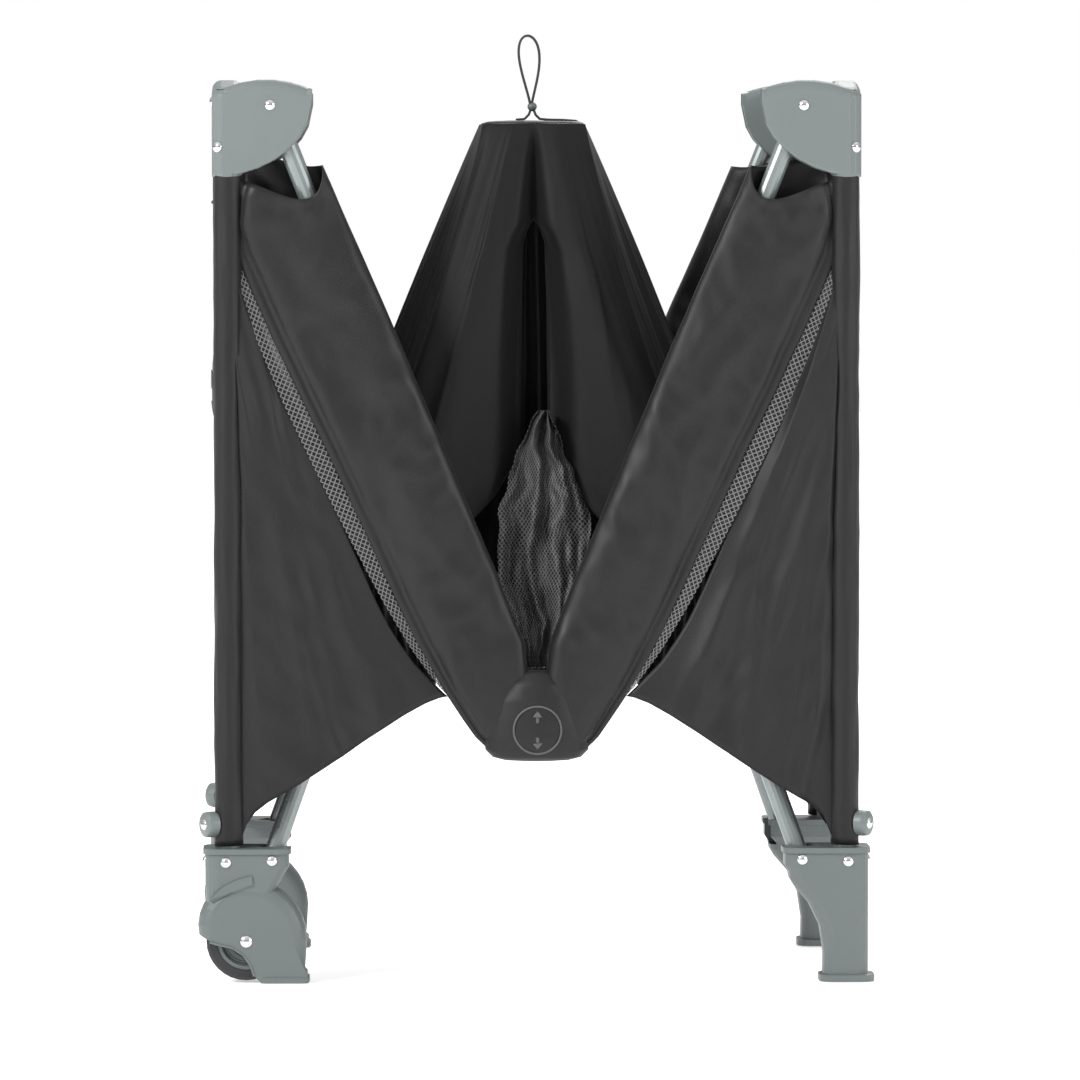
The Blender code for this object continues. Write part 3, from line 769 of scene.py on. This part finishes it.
def end_bunch(side, sx, seed):
    """The end wall's middle, bunched under the short latch."""
    rows, columns = 50, 70
    points = np.zeros((rows, columns, 3))
    for i in range(rows):
        q = i / (rows - 1)
        z = SHORT_LATCH_Z - 0.012 - 0.26 * q
        half = 0.028 + 0.052 * math.sin(math.pi * min(1.0, q * 0.8 + 0.1))
        for j in range(columns):
            p = j / (columns - 1) * 2 - 1
            pleat = 0.009 * math.sin(p * 14 + 2 * noise.noise(Vector((p * 2, q * 2.5, seed))))
            hem = 0.03 * (1 - p * p) * q
            points[i, j] = (sx * (POST_X - 0.004 + pleat * (0.4 + 0.6 * q)), p * half, z + hem)
    obj = surface("end_bunch_" + side, points, FABRIC, thickness=0.0008)
    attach(obj, "latch_" + side)
    cloth(obj)
    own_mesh(obj)


# Floor cloth


def rest_of(x, y):
    """Where the floor's point (x, y), measured open from the hub's middle, lies when half folded."""
    dx, dy = x - HUB_X, y - HUB_Y
    u = UX * dx + UY * dy
    k = UY * dx - UX * dy
    return np.array([
        HUB_X + u * COS * UX + k * UY + RIDGE_LIFT * SIN * UX,
        HUB_Y + u * COS * UY - k * UX + RIDGE_LIFT * SIN * UY,
        HUB_Z - u * SIN + RIDGE_LIFT * COS,
    ])


# half width of the slot in the floor's tent, against height
SLOT_GAP = (
    [0.44, 0.50, 0.58, 0.622, 0.634, 0.642],
    [0.0115, 0.0115, 0.0110, 0.0095, 0.0050, -0.0010],
)


def floor_part(corner, sx, sy, seed, middle, name, top_line, fold_size):
    """A quarter of the floor beside its base tube, from the ridge over it to the middle of its edge."""
    (mx, my), rest = middle
    move = rest_of(mx, my) - np.array(rest)
    rows, columns = 80, 60
    far = np.array([0.560, 0.283])
    start_y = top_line[0][1]
    points = np.zeros((rows, columns, 3))
    weights = np.zeros((rows, columns))
    for i in range(rows):
        down = i / (rows - 1)
        for j in range(columns):
            m = j / (columns - 1)
            edge = far * (1 - m) + np.array([mx, my]) * m
            start = np.array([HUB_X, HUB_Y]) * (1 - m) + np.array([top_line[0][0], top_line[0][1]]) * m
            place = start * (1 - down) + edge * down
            w = down * m
            p = rest_of(place[0], place[1]) - w * move
            top = np.array(top_line[1]) * (1 - m) + np.array(top_line[2]) * m
            near = float(ease(np.array(down / 0.22)))
            p = top * (1 - near) + p * near
            if name == "floor_side":
                lip = rest_of(mx, start_y + (my - start_y) * down) - down * move
                gap = np.interp(lip[2], *SLOT_GAP)
                p[0] -= (lip[0] - gap) * m ** 2.5 * near
                belly = math.sin(math.pi * m) * math.sin(math.pi * min(1.0, down * 1.1))
                p[1] += 0.020 * belly * (1 - 0.3 * down)
                p[1] -= 0.018 * ease(np.array((m - 0.86) / 0.14)) * near
            swell = fold_size * near * min(1.0, m * 5) * min(1.0, (1 - m) * 6 + 0.25)
            crease = math.sin(m * 11 + 1.1 * noise.noise(Vector((m * 3, down * 2, seed)))) * 0.5
            crease += creases((m * 0.5, 0.2, down * 0.5), seed, 7, 3, 1.0)
            normal = np.array([0.845, 0.390, 0.366])
            points[i, j] = p + normal * swell * crease
            weights[i, j] = w
    obj = surface(name + "_" + corner, flipped(points, sx, sy), SHADED_FLOOR_CLOTH, thickness=0.0010)
    cloth(obj)
    set_weights(obj)
    return obj


SIDE_TOP = ((0.0, 0.055), (0.0432, 0.0622, 0.7205), (-0.0010, 0.0640, 0.7212))
END_TOP = ((0.040, 0.0), (0.0432, 0.0622, 0.7205), (0.0448, 0.0005, 0.7205))


def hub_cloth():
    """The floor cloth's middle, pulled up over the hub."""
    outline = [
        (0.0005, 0.0005, 0.0004, 0.7235), (0.020, 0.030, 0.010, 0.7233), (0.0375, 0.0555, 0.012, 0.7228),
        (0.0420, 0.0610, 0.013, 0.7214), (0.0437, 0.0628, 0.013, 0.7190), (0.0440, 0.0632, 0.013, 0.7150),
    ]
    steps = 14
    rows = []
    for x, y, corner, z in outline:
        ring = []
        for cx, cy, start in ((1, 1, 0), (-1, 1, 90), (-1, -1, 180), (1, -1, 270)):
            for i in range(steps):
                turn = math.radians(start + 90 * i / (steps - 1))
                px = cx * (x - corner) + corner * math.cos(turn)
                py = cy * (y - corner) + corner * math.sin(turn)
                low = creases((px, py, z), 2.0, 30, 12, 0.0022)
                ring.append((px * (1 + low * 4), py * (1 + low * 4), z + low * 0.5))
        rows.append(ring)
    obj = surface("hub_cloth", rows, SHADED_FLOOR_CLOTH, closed=True, thickness=0.0010)
    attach(obj, "hub")
    cloth(obj)


def strap():
    """The webbing loop that lifts the floor, pinched at a clip over the hub."""
    path = []
    for i in range(49):
        turn = 2 * math.pi * i / 48
        lift = (1 - math.cos(turn)) / 2
        width = 0.0132 * math.sin(turn) * (lift ** 0.9)
        path.append((width - 0.001 + 0.003 * lift * lift * -1, 0.7335 + 0.0632 * lift))
    rows = [[(x, y, z) for y in np.linspace(-0.0045, 0.0045, 5)] for x, z in path]
    loop = surface("strap_loop", rows, WEBBING, thickness=0.0020)
    tails = []
    for way in (-1, 1):
        tail = [(way * 0.0008, 0.7345), (way * 0.0030, 0.7290), (way * 0.0065, 0.7255), (way * 0.014, 0.7248)]
        if way > 0:
            tail += [(0.026, 0.7246), (0.0375, 0.7238), (0.0405, 0.7218)]
        rows = [[(x, y, z) for y in np.linspace(-0.0035, 0.0035, 4)] for x, z in tail]
        tails.append(surface("strap_tail", rows, WEBBING, thickness=0.0012))
    strap_obj = joined("pull_loop", [loop] + tails)
    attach(strap_obj, "hub")
    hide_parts("pull_strap")
    half_clip = [(0.0, 0.0030), (0.0032, 0.0028), (0.0040, 0.0015)]
    clip = half_clip + [(radius, -z) for radius, z in reversed(half_clip)]
    band = turned("strap_clip", clip, facing((0, 0, 0.7360), (0, 1, 0)), FOOT_PLASTIC, 20)
    band.scale = (1, 1.6, 1)
    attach(band, "hub")


def hanging_mesh(side, sy, seed):
    """The wall mesh bunched over the long latch, behind it."""
    rows, columns = 90, 90
    points = np.zeros((rows, columns, 3))
    steps = [0.0, 0.17, 0.34, 0.59, 0.75, 0.90, 1.0]
    for i in range(rows):
        q = i / (rows - 1)
        z = 0.262 + 0.216 * q
        left = np.interp(q, steps, [-0.010, -0.020, -0.031, -0.031, -0.022, -0.011, 0.004])
        right = np.interp(q, steps, [0.017, 0.030, 0.044, 0.046, 0.034, 0.020, 0.013])
        for j in range(columns):
            p = j / (columns - 1)
            bend = 1.6 * noise.noise(Vector((p * 3.0, q * 3.0, seed)))
            pleat = 0.009 * math.sin(p * 17 + bend * 2.6 + q * 2.5) * (0.4 + 0.6 * q)
            crumple = 0.006 * noise.noise(Vector((p * 11, q * 9, seed + 4)))
            y = POST_Y - 0.020 - 0.042 * q + pleat + crumple
            ragged = 0.004 * noise.noise(Vector((q * 14, p * 2, seed + 7)))
            points[i, j] = (left + (right - left) * p + ragged, sy * y, z)
    obj = surface("hanging_mesh_" + side, points, SHADED_HANGING_NET, thickness=0.0006)
    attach(obj, "latch_" + side)
    cloth(obj)
    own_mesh(obj)


def floor_valley(side, sy, seed):
    """The floor's slack middle, in deep folds under the hub."""
    rows, columns = 60, 70
    points = np.zeros((rows, columns, 3))
    for i in range(rows):
        q = i / (rows - 1)
        z = 0.696 - 0.376 * q
        half = np.interp(q, [0.0, 0.2, 0.6, 1.0], [0.024, 0.030, 0.052, 0.084])
        depth = np.interp(q, [0.0, 0.25, 0.7, 1.0], [0.034, 0.028, 0.034, 0.050])
        for j in range(columns):
            p = j / (columns - 1) * 2 - 1
            wander = 1.5 * noise.noise(Vector((p * 2, q * 2, seed)))
            fold = 0.0075 * math.sin(p * 9 + wander) * min(1.0, q * 4)
            hem = 0.012 * math.sin(p * 7 + seed) * q ** 3
            points[i, j] = (p * half, sy * (depth + fold - 0.010 * abs(p)), z + hem)
    obj = surface("floor_valley_" + side, points, SHADED_FLOOR_CLOTH, thickness=0.0010)
    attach(obj, "hub")
    cloth(obj)
    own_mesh(obj)


# The whole


def build_soft():
    for number, (corner, (sx, sy)) in enumerate(CORNERS.items()):
        seed = 3.7 * number + 1.3
        rivets(corner, sx, sy)
        snap_disc(corner, sx, sy)
        sleeve(corner, sx, sy, seed)
        long_cover(corner, sx, sy, seed)
        short_cover(corner, sx, sy, seed + 20)
        long_wall(corner, sx, sy, seed)
        long_mesh(corner, sx, sy, seed)
        curtain(corner, sx, sy, seed, 0.0, 0.62, FABRIC, "lower_wall")
        curtain(corner, sx, sy, seed, 0.60, 1.0, NET, "lower_mesh")
        short_wall(corner, sx, sy)
        side = floor_part(corner, sx, sy, seed, MIDDLE_LONG, "floor_side", SIDE_TOP, 0.0055)
        end = floor_part(corner, sx, sy, seed + 8, MIDDLE_SHORT, "floor_end", END_TOP, 0.0030)
        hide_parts("floor_cloth_" + corner)
        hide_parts("end_cloth_" + corner)
    for corner in CORNERS:
        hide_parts("side_cloth_" + corner)
    for number, (side, (sx, sy)) in enumerate(SIDES.items()):
        latch_cover(side, sx, sy, 2.1 * number + 0.4)
        mark(side, sx, sy)
    for side, sy in (("front", -1), ("back", 1)):
        hanging_mesh(side, sy, 1.7 + sy)
        floor_valley(side, sy, 5.2 + sy)
        wheel_detail(side, sy)
        hood_lip(side + "_left", sy)
    for side, sx in (("left", -1), ("right", 1)):
        end_bunch(side, sx, 4.4 + sx)
    hub_cloth()
    strap()


def sky(tree):
    """White to look at. As light it is bright overhead and dimmer towards the horizon."""
    background = tree.nodes["Background"]
    background.inputs[0].default_value = (1, 1, 1, 1)
    place = tree.nodes.new("ShaderNodeTexCoord")
    parts = tree.nodes.new("ShaderNodeSeparateXYZ")
    height = tree.nodes.new("ShaderNodeMapRange")
    height.inputs[1].default_value = 0.0
    height.inputs[2].default_value = 0.9
    height.inputs[3].default_value = 0.27
    height.inputs[4].default_value = 0.95
    path = tree.nodes.new("ShaderNodeLightPath")
    pick = tree.nodes.new("ShaderNodeMix")
    pick.inputs[3].default_value = 1.0
    tree.links.new(place.outputs["Generated"], parts.inputs[0])
    tree.links.new(parts.outputs[2], height.inputs[0])
    tree.links.new(path.outputs["Is Camera Ray"], pick.inputs[0])
    tree.links.new(height.outputs[0], pick.inputs[2])
    tree.links.new(pick.outputs[0], background.inputs[1])


def stage():
    mesh = bpy.data.meshes.new("floor")
    outline = [(-14, -12), (14, -12), (14, 16), (-14, 16)]
    mesh.from_pydata([(x, y, -0.0006) for x, y in outline], [], [(0, 1, 2, 3)])
    n = Nodes("pale_floor")
    n.set(Base_Color=(0.98, 0.98, 0.98, 1), Roughness=0.9)
    n.set(Emission_Color=(1, 1, 1, 1), Emission_Strength=0.45)
    floor = finish_mesh("studio_floor", mesh, n.material)
    world = bpy.data.worlds.new("studio")
    bpy.context.scene.world = world
    world.use_nodes = True
    sky(world.node_tree)
    bpy.context.scene.view_settings.view_transform = "Standard"
    for name, place, size, power in (
        ("key", (-3.0, -2.6, 2.6), 1.0, 145),
        ("fill", (3.4, -2.2, 1.4), 1.2, 50),
        ("rim", (0.8, 3.2, 3.2), 1.8, 80),
    ):
        light = bpy.data.lights.new(name, "AREA")
        light.energy = power
        light.size = size
        lamp = bpy.data.objects.new(name, light)
        lamp.matrix_world = Matrix.Translation(place) @ (
            (Vector((0, 0, 0.4)) - Vector(place)).to_track_quat("-Z", "Y").to_matrix().to_4x4()
        )
        bpy.context.scene.collection.objects.link(lamp)


def camera():
    data = bpy.data.cameras.new("camera")
    data.lens = 250
    data.sensor_width = 36
    data.clip_end = 100
    obj = bpy.data.objects.new("camera", data)
    yaw, pitch = 0.02737, 0.04657
    forward = Vector((math.sin(yaw) * math.cos(pitch), math.cos(yaw) * math.cos(pitch), -math.sin(pitch)))
    turn = forward.to_track_quat("-Z", "Y").to_matrix().to_4x4()
    obj.matrix_world = Matrix.Translation((-0.1695, -6.438, 0.6642)) @ turn
    bpy.context.scene.collection.objects.link(obj)
    bpy.context.scene.camera = obj


dress_cad()
build_soft()
stage()
camera()
